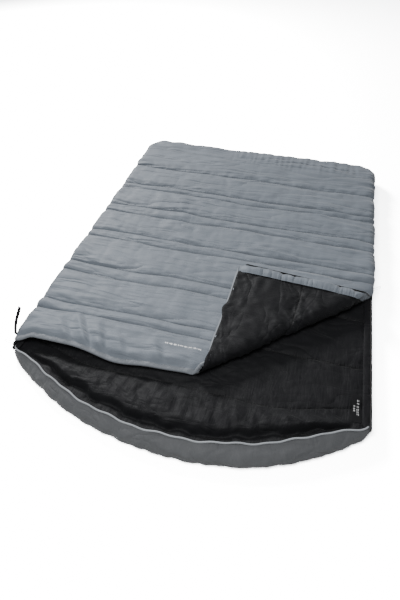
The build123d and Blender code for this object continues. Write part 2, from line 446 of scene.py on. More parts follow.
def lumps(tree, place, along, across, detail, twist):
    """Noise stretched along the first axis, about 0 to 1."""
    sizes = tree.nodes.new("ShaderNodeCombineXYZ")
    for axis, size in zip("XYZ", (along, across, along)):
        feed(tree, sizes.inputs[axis], size)
    scaled = tree.nodes.new("ShaderNodeVectorMath")
    scaled.operation = "DIVIDE"
    tree.links.new(place, scaled.inputs[0])
    tree.links.new(sizes.outputs["Vector"], scaled.inputs[1])
    cloud = tree.nodes.new("ShaderNodeTexNoise")
    cloud.inputs["Scale"].default_value = 1
    cloud.inputs["Detail"].default_value = detail
    cloud.inputs["Roughness"].default_value = 0.55
    cloud.inputs["Distortion"].default_value = twist
    tree.links.new(scaled.outputs["Vector"], cloud.inputs["Vector"])
    return cloud.outputs["Fac"]


creases, given, gives = open_group("creases", ("Place", "Along", "Across", "Depth"), ("Height",))
cloud = lumps(creases, given["Place"], given["Along"], given["Across"], 1.6, 0.7)
ridge = calc(creases, "ABSOLUTE", calc(creases, "MULTIPLY_ADD", cloud, 4.0, -2.0))
ridge = calc(creases, "POWER", calc(creases, "MINIMUM", ridge, 1.0), 0.8)
creases.links.new(calc(creases, "MULTIPLY", ridge, given["Depth"]), gives["Height"])

weave, given, gives = open_group("weave", ("Place", "Thread", "Depth"), ("Height",))
split = axes(weave, given["Place"])
turns = calc(weave, "DIVIDE", 2 * math.pi, given["Thread"])
over = calc(weave, "SINE", calc(weave, "MULTIPLY", split["X"], turns))
under = calc(weave, "SINE", calc(weave, "MULTIPLY", split["Y"], turns))
threads = calc(weave, "MULTIPLY", over, under)
weave.links.new(calc(weave, "MULTIPLY", threads, given["Depth"]), gives["Height"])

seam, given, gives = open_group("seam", ("Place", "Gap", "Reach", "Depth"), ("Height", "Shade"))
split = axes(seam, given["Place"])
near, wide = (
    calc(seam, "EXPONENT", calc(seam, "DIVIDE", given["Gap"], calc(seam, "MULTIPLY", given["Reach"], fade)))
    for fade in (-1.0, -4.0)
)
gather = calc(seam, "MULTIPLY_ADD", lumps(seam, given["Place"], 0.009, 0.12, 2, 0.2), 2.0, -1.0)
beat = calc(seam, "SINE", calc(seam, "MULTIPLY", split["X"], 1950.0))
stitch = calc(seam, "GREATER_THAN", beat, -0.45)
thread = calc(seam, "MULTIPLY", stitch, calc(seam, "LESS_THAN", given["Gap"], 0.0007))
pucker = calc(seam, "MULTIPLY", gather, wide)
height = calc(seam, "MULTIPLY", calc(seam, "SUBTRACT", pucker, near), given["Depth"])
height = calc(seam, "MULTIPLY_ADD", thread, 0.5, height)
seam.links.new(height, gives["Height"])
# Painted shade: the colour is darkened close to each sewn row, where shade falls in the groove; the stitch
# thread itself is made a little lighter.
painted_groove_shade = calc(seam, "MULTIPLY_ADD", near, -0.34, 1.0)
seam.links.new(calc(seam, "MULTIPLY_ADD", thread, 0.25, painted_groove_shade), gives["Shade"])

dye, given, gives = open_group("dye", ("Place", "Size", "Amount"), ("Factor",))
patch = lumps(dye, given["Place"], given["Size"], given["Size"], 5, 0.0)
patch = calc(dye, "MULTIPLY_ADD", patch, 2.0, -1.0)
dye.links.new(calc(dye, "MULTIPLY_ADD", patch, given["Amount"], 1.0), gives["Factor"])


def use_group(tree, group, **values):
    """Places a node group and fills its inputs from sockets or plain numbers."""
    node = tree.nodes.new("ShaderNodeGroup")
    node.node_tree = group
    for label, value in values.items():
        feed(tree, node.inputs[label], value)
    return node.outputs


def new_finish(name):
    """A new material, with its node tree and its shader."""
    material = bpy.data.materials.new(name)
    material.use_nodes = True
    return material, material.node_tree, material.node_tree.nodes["Principled BSDF"]


def join_finish(tree, shader, colour, tone, rough, height, relief=0.001):
    """Joins a colour scaled by a tone, a roughness and a height to the shader."""
    paint = tree.nodes.new("ShaderNodeVectorMath")
    paint.name = "paint"
    paint.operation = "SCALE"
    paint.inputs["Vector"].default_value = colour
    tree.links.new(tone, paint.inputs["Scale"])
    tree.links.new(paint.outputs["Vector"], shader.inputs["Base Color"])
    tree.links.new(rough, shader.inputs["Roughness"])
    bump = tree.nodes.new("ShaderNodeBump")
    bump.inputs["Distance"].default_value = relief
    tree.links.new(height, bump.inputs["Height"])
    tree.links.new(bump.outputs["Normal"], shader.inputs["Normal"])


def cloth_finish(name, colour, rough, sheen, wrinkles, groove=0.0, reach=0.003, pattern=True, thread=0.0009):
    """Woven polyester: dye patches, wrinkles as (along, across, depth in mm), and sewn grooves with painted
    shade along them.
    """
    material, tree, shader = new_finish(name)
    shader.inputs["Specular IOR Level"].default_value = 0.22
    shader.inputs["Sheen Weight"].default_value = sheen
    shader.inputs["Sheen Roughness"].default_value = 0.45
    if pattern:
        source = tree.nodes.new("ShaderNodeUVMap")
        source.uv_map = "flat"
        place = source.outputs["UV"]
    else:
        place = tree.nodes.new("ShaderNodeTexCoord").outputs["Object"]
    height = use_group(tree, weave, Place=place, Thread=thread, Depth=0.05)["Height"]
    for along, across, depth in wrinkles:
        fold = use_group(tree, creases, Place=place, Along=along, Across=across, Depth=depth)["Height"]
        height = calc(tree, "ADD", height, fold)
    tone = use_group(tree, dye, Place=place, Size=0.13, Amount=0.16)["Factor"]
    fine = use_group(tree, dye, Place=place, Size=0.004, Amount=0.10)["Factor"]
    tone = calc(tree, "MULTIPLY", tone, fine)
    if groove:
        gap = tree.nodes.new("ShaderNodeAttribute")
        gap.attribute_name = "seam_gap"
        sewn = use_group(tree, seam, Place=place, Gap=gap.outputs["Fac"], Reach=reach, Depth=groove)
        height = calc(tree, "ADD", height, sewn["Height"])
        # The seam's painted shade darkens the colour along each sewn row.
        tone = calc(tree, "MULTIPLY", tone, sewn["Shade"])
    join_finish(tree, shader, colour, tone, calc(tree, "MULTIPLY_ADD", tone, 0.12, rough - 0.12), height)
    return material


# Painted shade: the band is the same brushed polyester as the underside, but its colour is darkened for the
# shade on its upright sides.
shaded_band_cloth = cloth_finish(
    "shaded_band_cloth", (0.112, 0.116, 0.121), 0.62, 0.2, ((0.12, 0.05, 5.0), (0.02, 0.05, 1.0)), 1.0
)
band_rows = [lambda x: 0 * x, lambda x: 0 * x + band_width]
band = sewn_cloth("bottom_band", band_rows, [10], 600, edge_length / 2, 0.035, 1.5, 11)
strip = mesh_points(band)
u = np.clip(strip[:, 0] / edge_length + 0.5, 0, 1)
v = np.clip(strip[:, 1] / band_width, 0, 1)
x, y, nx, ny = along_edge(u)
k = head_share(y)
swell = 0.007 * np.tanh(strip[:, 2] / 0.012) + 0.006 * folds(x + y, v, 0.05, 0.8, 3.0) * np.sin(math.pi * v)
sag = 0.026 * k * hump(x, 0.33, 0.33)
out = curve_between(v, (-0.022, 0.003 + 0.004 * k + sag, 0.002 + 0.010 * k + sag, -rim_inset))
z = curve_between(v, (0.0012, 0.0010 - 0.001 * k, 0.040 + 0.006 * k, rim_height(y)))
lean = curve_between(v, (0, 0, 0.30, 1)) * rim_lean
facing = np.sin(math.pi * np.clip(v, 0, 0.94))
px, py = x + nx * (out + swell * facing), y + ny * (out + swell * facing)
px, py = lean_in(px, py, lean)
set_points(band, np.stack([px, py, np.maximum(z + swell * (v - 0.35) * 0.8, 0.0008)], 1))
mend(band, 0.0006)
dress(band, shaded_band_cloth)
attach(band, "bottom_quilt")
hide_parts("bottom_shell")

underside_inset = 0.019
under_columns = 80
under_counts = [14] * 6 + [18]
underside, i, j = cut_grid("bottom_underside", under_columns, sum(under_counts))
x = (2 * i / under_columns - 1) * (half_width - underside_inset)
lines = [head_line(x, underside_inset)]
for n, place in enumerate((-0.70, -0.42, -0.14, 0.14, 0.42, 0.70)):
    lines.append(place + wander(x, 40 + n, 0.006) + (0.09 * smooth(np.abs(x), 0.3, 0.74) if n == 0 else 0))
lines = np.array(lines + [foot_y - underside_inset + 0 * x])
y, share, gap, held = lay_rows(j, under_counts, lines)
inner_row = held & (j > 0) & (j < sum(under_counts))
flat_x, flat_y = x, y
x, y = fit_outline(x, y, underside_inset)
flats = 0.0036 * np.sin(math.pi * share) ** 0.5 - 0.0016 * folds(x, y, 0.04, 0.12, 9.0) * np.exp(-gap / 0.03)
set_points(underside, np.stack([x, y, 0.0046 - flats], 1))
mark_cloth(underside, flat_x, flat_y, gap, np.where(inner_row, j, -1))
underside.data.flip_normals()
under_wrinkles = ((0.18, 0.07, 1.6), (0.03, 0.02, 0.4))
dress(underside, cloth_finish("underside_cloth", grey, 0.65, 0.15, under_wrinkles, 1.6, 0.004))
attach(underside, "bottom_quilt")
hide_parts("bottom_wadding")

# ---------------- bottom quilt, lining
# Dark soft polyester, sewn through to the wadding in a few straight rows. At the head end it is cut
# full and gathered into the piped seam, so it stands up in soft folds behind a flat strip there.
black = (0.0064, 0.0066, 0.0080)
lining_half = half_width - rim_inset
lining_rows = [
    lambda x: head_line(x, rim_inset),
    *cross_rows((shoulder_y + 0.012, -0.525, -0.25, 0.03, 0.31, 0.59, 0.84), 60, 0.010, 0.085),
    lambda x: 0 * x + foot_y - rim_inset,
]
lining_counts = [24, 22, 22, 20, 16, 14, 12, 12]
bottom_lining = sewn_cloth(
    "bottom_lining_cloth", lining_rows, lining_counts, 132, lining_half, 0.030, 1.6, 23,
    loose=lambda x, y: smooth(y, -0.62, -0.86),
)
p = mesh_points(bottom_lining)
gap = seam_gap(bottom_lining)
x, y = fit_outline(p[:, 0], p[:, 1], rim_inset)
to_side = np.minimum(lining_half - np.abs(x), foot_y - rim_inset - y)
to_head = arc_radius - rim_inset - np.hypot(x, y - arc_y)
to_edge = np.minimum(to_side, to_head)
near_head = smooth(y, shoulder_y + 0.05, shoulder_y - 0.06)
around = np.arctan2(x, arc_y - y) * arc_radius
pulled_x, pulled_y = lean_in(x, y, rim_lean)
inward = smooth(to_edge, 0.20, 0.0)
x, y = x + (pulled_x - x) * inward, y + (pulled_y - y) * inward
full = 0.0060 + 0.0080 * near_head
swell = full * np.tanh(p[:, 2] / (full * 1.3)) * (0.55 + 0.45 * off_row(gap, 0.012))
valley_at = 0.040 + 0.022 * (folds(around, 0 * around, 0.17, 1, 5.0, 2) - 0.4)
behind = to_head - valley_at
puff = smooth(behind, 0.0, 0.030) * (1 - 0.85 * smooth(behind, 0.05, 0.25))
valley = hump(behind, 0, 0.011) * (0.5 + 0.7 * folds(around, 0 * around, 0.09, 1, 8.0, 2))
gathers = folds(around, to_head, 0.030, 0.30, 2.0) * smooth(behind, -0.004, 0.020)
gathers = gathers * (1 - smooth(behind, 0.10, 0.30))
loops = folds(around + 0.6 * to_head, to_head, 0.13, 0.22, 4.0, 2) * puff
crumple = 0.0050 * folds(x, y, 0.12, 0.07, 6.0) * off_row(gap, 0.02)
height = 0.0435 + 0.0075 * near_head + swell + crumple
height = height + near_head * (0.014 * puff - 0.020 * valley + 0.0065 * gathers + 0.009 * loops)
rim = smooth(to_edge, 0.030, 0.0)
set_points(bottom_lining, np.stack([x, y, height * (1 - rim) + (rim_height(y) - 0.001) * rim], 1))
lining_wrinkles = ((0.014, 0.12, 0.8), (0.16, 0.07, 3.5), (0.05, 0.06, 0.8))
dress(bottom_lining, cloth_finish("lining_cloth", black, 0.66, 0.05, lining_wrinkles, 2.4, 0.004))
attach(bottom_lining, "bottom_quilt")
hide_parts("bottom_lining")

# ---------------- head piping
# A cord in a bias strip of paler cloth, caught in the seam between the band and the lining.
piping_radius = 0.0034
piping_line = bpy.data.curves.new("piping_line", "CURVE")
piping_line.dimensions = "3D"
piping_line.bevel_depth = piping_radius
piping_line.bevel_resolution = 3
piping_line.use_fill_caps = True
u = np.linspace(0, 1, 1401)
x, y, nx, ny = along_edge(u)
at_head = y < shoulder_y + 0.02
x, y, nx, ny, u = (a[at_head] for a in (x, y, nx, ny, u))
waver = 0.0014 * np.sin(u * 410) + 0.0018 * np.sin(u * 173 + 1)
px, py = lean_in(x - nx * (rim_inset - 0.001 + waver), y - ny * (rim_inset - 0.001 + waver), rim_lean)
spline = piping_line.splines.new("POLY")
spline.points.add(len(px) - 1)
piping_points = np.stack([px, py, rim_height(y) + 0.0022 + waver, np.ones(len(px))], 1)
spline.points.foreach_set("co", piping_points.ravel())
piping_curve = place_object("piping_curve", piping_line)
piping = place_object("head_piping_cord", bpy.data.meshes.new_from_object(evaluated(piping_curve)))
bpy.data.objects.remove(piping_curve)
pale = (0.36, 0.38, 0.40)
piping_cloth = cloth_finish("piping_cloth", pale, 0.6, 0.2, ((0.006, 0.006, 0.4),), pattern=False)
dress(piping, piping_cloth, 0)
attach(piping, "bottom_quilt")
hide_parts("head_piping")

# ---------------- top quilt, outer cloth
# The same brushed polyester, quilted straight through in pairs of cross rows. It wraps over both
# sides and the foot and a little way under, where the lining and the zips are sewn to it.
hem_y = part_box("top_shell")[0].y
wrap_out = 0.0215
wrap_under = 0.030
edge_thick = 0.026
quilt_mid = 0.071
hem_thick = 0.011
side_over = 0.0035
foot_over = 0.001
inner_x = half_width + side_over - wrap_out
inner_foot = foot_y + foot_over - wrap_out
inner_corner = foot_corner + side_over - wrap_out
turn_length = math.pi * math.sqrt((wrap_out**2 + (edge_thick / 2) ** 2) / 2)
wrap_length = turn_length + wrap_under
fold_turn = math.radians(42.5)
fold_start = np.array([half_width, -0.105])
fold_along = np.array([math.cos(fold_turn), math.sin(fold_turn)])
fold_across = np.array([math.sin(fold_turn), -math.cos(fold_turn)])
fold_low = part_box("top_lining")[0].z
fold_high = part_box("corner_shell")[1].z
fold_width = fold_high - fold_low
fold_split = fold_width / 2
pleat = 0.0015


def quilt_thickness(y):
    """The edge's thickness, thinner towards the hem."""
    return hem_thick + (edge_thick - hem_thick) * smooth(y, hem_y, hem_y + 0.05)


def wrap_over(x, y, h, puff):
    """Takes flat cloth over the top quilt's sides and foot and under them.

    h is how far it swells, and puff how far the turned-under strip rolls out."""
    side = np.sign(x)
    ax = np.abs(x)
    corner_x, corner_y, reach = inner_x - inner_corner, inner_foot - inner_corner, inner_corner + wrap_length
    a, b = np.clip((ax - corner_x) / reach, 0, 1), np.clip((y - corner_y) / reach, 0, 1)
    in_corner = (a > 0) & (b > 0)
    ax = np.where(in_corner, corner_x + reach * a * np.sqrt(1 - b * b / 2), ax)
    y = np.where(in_corner, corner_y + reach * b * np.sqrt(1 - a * a / 2), y)
    dx, dy = ax - corner_x, y - corner_y
    size = np.maximum(np.hypot(dx, dy), 1e-9)
    by_side = ax - inner_x > y - inner_foot
    over = np.where(in_corner, size - inner_corner, np.where(by_side, ax - inner_x, y - inner_foot))
    nx = np.where(in_corner, dx / size, np.where(by_side, 1, 0))
    ny = np.where(in_corner, dy / size, np.where(by_side, 0, 1))
    beyond = np.maximum(over, 0)
    bend = np.minimum(beyond / turn_length, 1) * math.pi
    below = np.clip((beyond - turn_length) / wrap_under, 0, 1)
    out = wrap_out * np.sin(bend) - np.maximum(beyond - turn_length, 0)
    swell = h * np.where(below > 0, 0.25, 1 - 0.40 * np.sin(bend))
    rolled_out = puff * np.sin(math.pi * np.clip(below * 0.9 + 0.1 * (bend / math.pi), 0, 1))
    move = out - beyond + swell * np.sin(bend) + 0.5 * rolled_out
    z = quilt_mid + quilt_thickness(y) / 2 * np.cos(bend) + swell * np.cos(bend)
    return np.stack([side * (ax + nx * move), y + ny * move, z - rolled_out], 1)


def across_fold(x, y):
    """Distance across the fold, towards the head corner, of a point on the flat quilt."""
    return (x - fold_start[0]) * fold_across[0] + (y - fold_start[1]) * fold_across[1]


def from_fold(along, across, up):
    """A point given along, across and above the lower fold line, in the bag's own axes."""
    flat = fold_start + along[:, None] * fold_along + across[:, None] * fold_across
    return np.concatenate([flat, (up + fold_low)[:, None]], 1)


def quarter_turn(across, up):
    """Turns cloth beyond a fold line up by a quarter, taking up what is inside the bend in a pleat."""
    share = np.clip(np.arctan2(across, up) / (math.pi / 2) + 0.5, 0, 1)
    back = share * math.pi / 2
    a = across * np.cos(back) - up * np.sin(back)
    b = across * np.sin(back) + up * np.cos(back)
    q = (a + b) / math.sqrt(2)
    eased = 0.5 - np.sin(np.arcsin(1 - 2 * share) / 3)
    wanted = pleat * (2 * eased - 1)
    wanted = np.where(share <= 0, np.minimum(q, -pleat), np.where(share >= 1, np.maximum(q, pleat), wanted))
    return a + (wanted - q) / math.sqrt(2), b + (wanted - q) / math.sqrt(2)


def turn_back(points, corner):
    """Lays the flat quilt's head corner back over it: up at the lower fold line, over at the upper one."""
    flat = points[:, :2] - fold_start
    along, across, up = flat @ fold_along, flat @ fold_across, points[:, 2] - fold_low
    if corner:
        over, height = quarter_turn(across - fold_width, up)
        return from_fold(along, -height, over + fold_width)
    return from_fold(along, *quarter_turn(across, up))


def tuck_end(points):
    """Draws the fold's head end in along the fold, where it is pulled tight."""
    out = points.copy()
    off = points[:, :2] - np.array([0.0, hem_y])
    out[:, :2] += 0.034 * np.exp(-(np.hypot(off[:, 0], off[:, 1]) / 0.13)[:, None] ** 2) * fold_along
    return out


def lay_corner(points):
    """How the turned-back corner lies: its tip reaches a little further over, and sinks."""
    out = tuck_end(points)
    tip = smooth(-across_fold(points[:, 0], points[:, 1]), 0.12, 0.46)
    out[:, 0] -= 0.026 * tip
    out[:, 2] -= 0.008 * tip
    return out


def settle(points):
    """How the top quilt lies: its head edge lifts off the lining left of the middle, and it rolls gently."""
    x, y = points[:, 0], points[:, 1]
    near_hem = smooth(y, hem_y + 0.22, hem_y)
    lift = 0.027 * near_hem * smooth(x, -0.735, -0.655) * smooth(x, -0.27, -0.50)
    lift = lift + 0.007 * near_hem * hump(x, -0.16, 0.07)
    inside = smooth(np.abs(x), 0.74, 0.66) * smooth(across_fold(x, y), -0.03, -0.16)
    rolls = 0.003 * np.sin(x * 7.3 + y * 3.1) * np.sin(y * 8.7 + 1) * inside
    out = tuck_end(points)
    out[:, 2] += lift + rolls
    out[:, 1] += 0.7 * lift * near_hem
    return out


def split_copy(piece, name, at, keep_corner):
    """One side of a flat piece, cut square across the fold."""
    half = bmesh.new()
    half.from_mesh(piece.data)
    bmesh.ops.bisect_plane(
        half,
        geom=half.verts[:] + half.edges[:] + half.faces[:],
        plane_co=(*(fold_start + fold_across * at), 0),
        plane_no=(*fold_across, 0),
        clear_outer=not keep_corner,
        clear_inner=keep_corner,
    )
    return piece_from(name, half)


def fold_piece(flat, names, at, bend):
    """Cuts a flat piece across the fold, bends both halves over it and lays them down."""
    halves = [split_copy(flat, name, at, name.startswith("corner")) for name in names]
    bpy.data.objects.remove(flat)
    for piece, lie in zip(halves, (settle, lay_corner)):
        set_points(piece, bend(mesh_points(piece), lie is lay_corner))
        set_points(piece, lie(mesh_points(piece)))
    return halves


def ride_fold(main_part, corner_part):
    """Bakes the placing of the quilt's cloth and of the corner's into their meshes."""
    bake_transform(main_part)
    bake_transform(corner_part)


row_places = np.array((0.235, 0.29, 0.49, 0.56, 0.77, 0.83, 1.01, 1.08, 1.26, 1.31, 1.52))
top_rows = [
    lambda x: hem_y + wander(x, 5, 0.003),
    *cross_rows(shoulder_y + row_places, 80, 0.009),
    lambda x: 0 * x + inner_foot + wrap_length,
]
top_counts = [17, 6, 17, 6, 18, 6, 15, 6, 15, 5, 18, 32]
top_cloth = sewn_cloth("top_cloth", top_rows, top_counts, 142, inner_x + wrap_length, 0.03, 2.0, 3)
p = mesh_points(top_cloth)
x, y = p[:, 0], p[:, 1]
gap = seam_gap(top_cloth)
off_seam = off_row(gap, 0.012)
across = across_fold(x, y)
pressed = 1 - 0.88 * smooth(np.abs(across - fold_split), 0.12, 0.05)
swell = 0.0065 * off_seam + 0.0065 * np.tanh(p[:, 2] / 0.020)
slack_here = 0.4 + 0.9 * folds(x, y, 0.5, 0.3, 13.0, 1)
swell += 0.0100 * folds(x, y + 0.10 * x, 0.20, 0.052, 1.0, 2) * off_seam * slack_here
swell += 0.0070 * folds(x, y, 0.030, 0.30, 7.0) * smooth(y, 0.84, 0.97) * smooth(x, -0.30, 0.05)
for start, lean, long, high in (
    (-0.49, -0.75, 0.17, 0.012),
    (-0.41, -0.62, 0.24, 0.017),
    (-0.34, -0.50, 0.19, 0.012),
    (-0.24, -0.65, 0.14, 0.008),
    (-0.11, -0.35, 0.17, 0.010),
):
    up_fold = y - hem_y
    off = x - start - lean * up_fold
    ridge = hump(off, 0, 0.018) - 0.8 * hump(off, 0.028, 0.012)
    swell += high * ridge * smooth(up_fold, long, 0.5 * long)
swell += 0.0040 * folds(x, y, 0.022, 0.15, 8.0) * smooth(y, hem_y + 0.07, hem_y + 0.01)
rolled = 0.013 * smooth(across, fold_width + 0.02, fold_width + 0.10)
rolled = rolled * (0.60 + 0.80 * folds(y + 1.6 * x, y - x, 0.034, 0.16, 6.0))
swell = swell * smooth(y, hem_y + 0.012, hem_y + 0.032)
set_points(top_cloth, wrap_over(x, y, swell * pressed, rolled * (x > 0)))
names = ("top_quilt_cloth", "corner_cloth")
top_outer, corner_outer = fold_piece(top_cloth, names, fold_split, turn_back)

shell_cloth = cloth_finish(
    "shell_cloth", grey, 0.58, 0.22, ((0.45, 0.080, 7.0), (0.18, 0.034, 1.2), (0.014, 0.012, 0.15)), 1.3
)
tree = shell_cloth.node_tree
flat = axes(tree, next(n for n in tree.nodes if n.type == "UVMAP").outputs["UV"])
run = calc(tree, "ADD", flat["X"], 0.032)
beats = calc(tree, "ADD", calc(tree, "SINE", calc(tree, "MULTIPLY", run, 720.0)), 0.55)
beats = calc(tree, "ADD", beats, calc(tree, "SINE", calc(tree, "MULTIPLY", run, 310.0)))
tall = calc(tree, "MULTIPLY_ADD", calc(tree, "SINE", calc(tree, "MULTIPLY", run, 450.0)), 0.0012, 0.0034)
above_line = calc(tree, "ADD", flat["Y"], 0.640)
print_mask = calc(tree, "LESS_THAN", calc(tree, "ABSOLUTE", above_line), tall)
print_mask = calc(tree, "MULTIPLY", print_mask, calc(tree, "LESS_THAN", calc(tree, "ABSOLUTE", run), 0.078))
print_mask = calc(tree, "MULTIPLY", print_mask, calc(tree, "GREATER_THAN", beats, 0.0))
printed = tree.nodes.new("ShaderNodeMix")
printed.data_type = "RGBA"
tree.links.new(print_mask, printed.inputs["Factor"])
tree.links.new(tree.nodes["paint"].outputs["Vector"], printed.inputs[6])
printed.inputs[7].default_value = (0.80, 0.80, 0.80, 1)
tree.links.new(printed.outputs[2], tree.nodes["Principled BSDF"].inputs["Base Color"])
for piece in (top_outer, corner_outer):
    dress(piece, shell_cloth)
ride_fold(top_outer, corner_outer)
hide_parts("top_shell", "top_wadding", "fold_shell", "fold_wadding")
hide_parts("corner_shell", "corner_wadding")

# ---------------- top quilt, lining
# The same dark lining as the bottom quilt's. Where the corner is turned back it goes over the fold
# in a soft roll, and it shows on the whole of the corner.
roll = 0.020
lining_edge = inner_x - wrap_under + 0.006
top_lining_rows = [
    lambda x: 0 * x + hem_y + 0.004,
    *cross_rows((-0.47, -0.19, 0.09, 0.37, 0.65), 100, 0.009),
    lambda x: 0 * x + inner_foot - wrap_under + 0.006,
]
top_lining_counts = [26, 24, 22, 18, 16, 24]
lining_flat = sewn_cloth("lining_flat", top_lining_rows, top_lining_counts, 122, lining_edge, 0.035, 1.8, 31)


def turn_round(points, corner):
    """Lays flat lining over the fold in a roll; z is how far it stands off the quilt."""
    flat = points[:, :2] - fold_start
    along, across, drop = flat @ fold_along, flat @ fold_across, points[:, 2]
    lower = np.clip((across + roll) / (2 * roll), 0, 1) * math.pi / 2
    upper = np.clip((across - fold_width + roll) / (2 * roll), 0, 1) * math.pi / 2
    straight = np.clip(across - roll, 0, fold_width - 2 * roll)
    bulge = 0.011 * np.sin(math.pi * np.clip((across + roll) / (fold_width + 2 * roll), 0, 1)) ** 2
    a = np.minimum(across, -roll) + roll * np.sin(lower)
    a = a - roll * (1 - np.cos(upper)) - np.maximum(across - fold_width - roll, 0)
    b = roll * (1 - np.cos(lower)) + straight + roll * np.sin(upper)
    facing = lower + upper
    return from_fold(along, a + (drop + bulge) * np.sin(facing), b - drop * np.cos(facing))


p = mesh_points(lining_flat)
x, y = p[:, 0], p[:, 1]
gap = seam_gap(lining_flat)
across = across_fold(x, y)
along = (x - fold_start[0]) * fold_along[0] + (y - fold_start[1]) * fold_along[1]
to_edge = np.minimum(lining_edge - np.abs(x), y - hem_y)
inner = smooth(to_edge, 0.0, 0.035)
drop = 0.0105 * np.tanh(p[:, 2] / 0.019) * (0.5 + 0.5 * off_row(gap, 0.012))
drop += 0.0065 * folds(x, y, 0.11, 0.07, 3.0) * inner
over_roll = smooth(across, -0.03, 0.02) * smooth(across, fold_width + 0.19, fold_width)
drop += (0.0110 * folds(along, across, 0.034, 0.22, 2.0) - 0.003) * over_roll * inner
drop -= 0.0025 + 0.0070 * inner
spill = (hump(x, 0.43, 0.035) + 0.8 * hump(x, 0.12, 0.05)) * smooth(y, hem_y + 0.06, hem_y)
set_points(lining_flat, np.stack([x, y - 0.014 * spill, drop + 0.008 * spill], 1))
names = ("top_lining_cloth", "corner_lining_cloth")
top_inner, corner_inner = fold_piece(lining_flat, names, roll, turn_round)
turned_wrinkles = ((0.05, 0.16, 1.8), (0.22, 0.10, 4.5), (0.016, 0.06, 0.5))
turned_lining = cloth_finish("turned_lining", black, 0.66, 0.05, turned_wrinkles, 2.2, 0.004)
for piece in (top_inner, corner_inner):
    piece.data.flip_normals()
    dress(piece, turned_lining)
ride_fold(top_inner, corner_inner)
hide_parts("top_lining")
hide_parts("corner_lining", "fold_lining")

# ---------------- hem binding
# A folded strip of the outer cloth round the top quilt's head edge, sewn through near its inner
# edge; its folded edge stands up a little, like a thin piping.
binding_wide = 0.020
binding_back = 0.011
binding_columns, binding_lines = 320, 10
edge_from, edge_to = 0.42, 0.67
binding, i, j = cut_grid("binding_flat", binding_columns, binding_lines)
x = (2 * i / binding_columns - 1) * (half_width - 0.002)
v = j / binding_lines
round_edge = np.clip((v - edge_from) / 0.25, 0, 1) * math.pi
back = np.maximum(edge_from - v, 0) / edge_from * binding_wide
back = back + np.maximum(v - edge_to, 0) / 0.33 * binding_back
tuck = folds(x, back, 0.020, 0.09, 5.0, 2)
full = np.sin(math.pi * np.clip(back / binding_wide, 0, 1))
thick = quilt_thickness(hem_y + back) / 2 + 0.0012 + 0.0045 * full * tuck
thick = np.where(back > binding_wide - 0.0025, thick - 0.0016, thick)
y = hem_y + wander(x, 5, 0.003) - 0.0035 * np.sin(round_edge) + back
set_points(binding, np.stack([x, y, quilt_mid + thick * np.cos(round_edge)], 1))
mark_cloth(binding, x, back, np.abs(back - binding_wide + 0.003))
names = ("top_hem_binding_cloth", "corner_hem_binding_cloth")
top_binding, corner_binding = fold_piece(binding, names, fold_split, turn_back)
# Painted highlight: the binding is cut from the shell's cloth, but its colour is made lighter than the
# shell's, for the light caught along its raised edge.
lit_hem_cloth = cloth_finish(
    "lit_hem_cloth", (0.215, 0.232, 0.255), 0.58, 0.22, ((0.014, 0.05, 0.9), (0.006, 0.006, 0.2)), 1.2, 0.002
)
for piece in (top_binding, corner_binding):
    dress(piece, lit_hem_cloth)
ride_fold(top_binding, corner_binding)
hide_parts("top_hem_binding", "fold_hem_binding")
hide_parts("corner_hem_binding")

# ---------------- foot gusset
# A puckered strip of the outer cloth sewn to both quilts along the foot, which holds them together.
gusset_low, gusset_high = 0.0455, 0.0605
no_seam = 0.02
gusset_columns, gusset_lines = 260, 4
u = np.linspace(0, 1, 1601)
corner_middle_y = math.sqrt(0.5) * foot_corner + (foot_y - foot_corner)
u = u[along_edge(u)[1] > corner_middle_y]
gusset, i, j = cut_grid("foot_gusset", gusset_columns, gusset_lines)
x, y, nx, ny = along_edge(u[0] + (u[-1] - u[0]) * i / gusset_columns)
v = j / gusset_lines
tuck = 0.0022 * folds(x, v, 0.024, 0.9, 3.0, 2)
out = -0.0065 - 0.0035 * np.sin(math.pi * v) + tuck * np.sin(math.pi * v)
set_points(gusset, np.stack([x + nx * out, y + ny * out, gusset_low + (gusset_high - gusset_low) * v], 1))
gusset_flat = (u[-1] - u[0]) * edge_length
mark_cloth(gusset, gusset_flat * i / gusset_columns, v * 0.017, no_seam + 0 * v)
mend(gusset)
if sum(face.normal.y for face in gusset.data.polygons) < 0:
    gusset.data.flip_normals()
# Painted shade: the gusset takes the band's darkened copy of the outer cloth.
dress(gusset, shaded_band_cloth)
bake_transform(gusset)
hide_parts("foot_seam")

# ---------------- draught tubes
# A soft tube of lining cloth filled with wadding, sewn inside each zip to keep the cold out.
tube_columns, tube_lines = 16, 150
for side in ("left", "right"):
    low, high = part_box(f"draught_tube_{side}")
    tube, i, j = cut_grid(f"draught_tube_{side}_cloth", tube_columns, tube_lines)
    turn = i / tube_columns * 2 * math.pi
    s = j / tube_lines
    y = low.y + (high.y - low.y) * s
    plump = np.minimum(1, (np.minimum(s, 1 - s) / 0.012)) ** 0.5
    tuck = 1 + 0.22 * (folds(y, 0 * y, 0.020, 1, 5.0 if side == "left" else 9.0, 2) - 0.5)
    wide, tall = (high.x - low.x) / 2, (high.z - low.z) / 2
    x = (low.x + high.x) / 2 + wide * (0.6 + 0.4 * plump) * np.cos(turn)
    z = low.z + 0.001 + tall + tall * (0.1 + 0.9 * plump) * np.sin(turn) * tuck
    set_points(tube, np.stack([x, y, z], 1))
    mark_cloth(tube, turn * 0.009, y, no_seam + 0 * y)
    mend(tube, 0.00005, cap=True)
    dress(tube, turned_lining)
    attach(tube, "bottom_quilt")
    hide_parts(f"draught_tube_{side}")

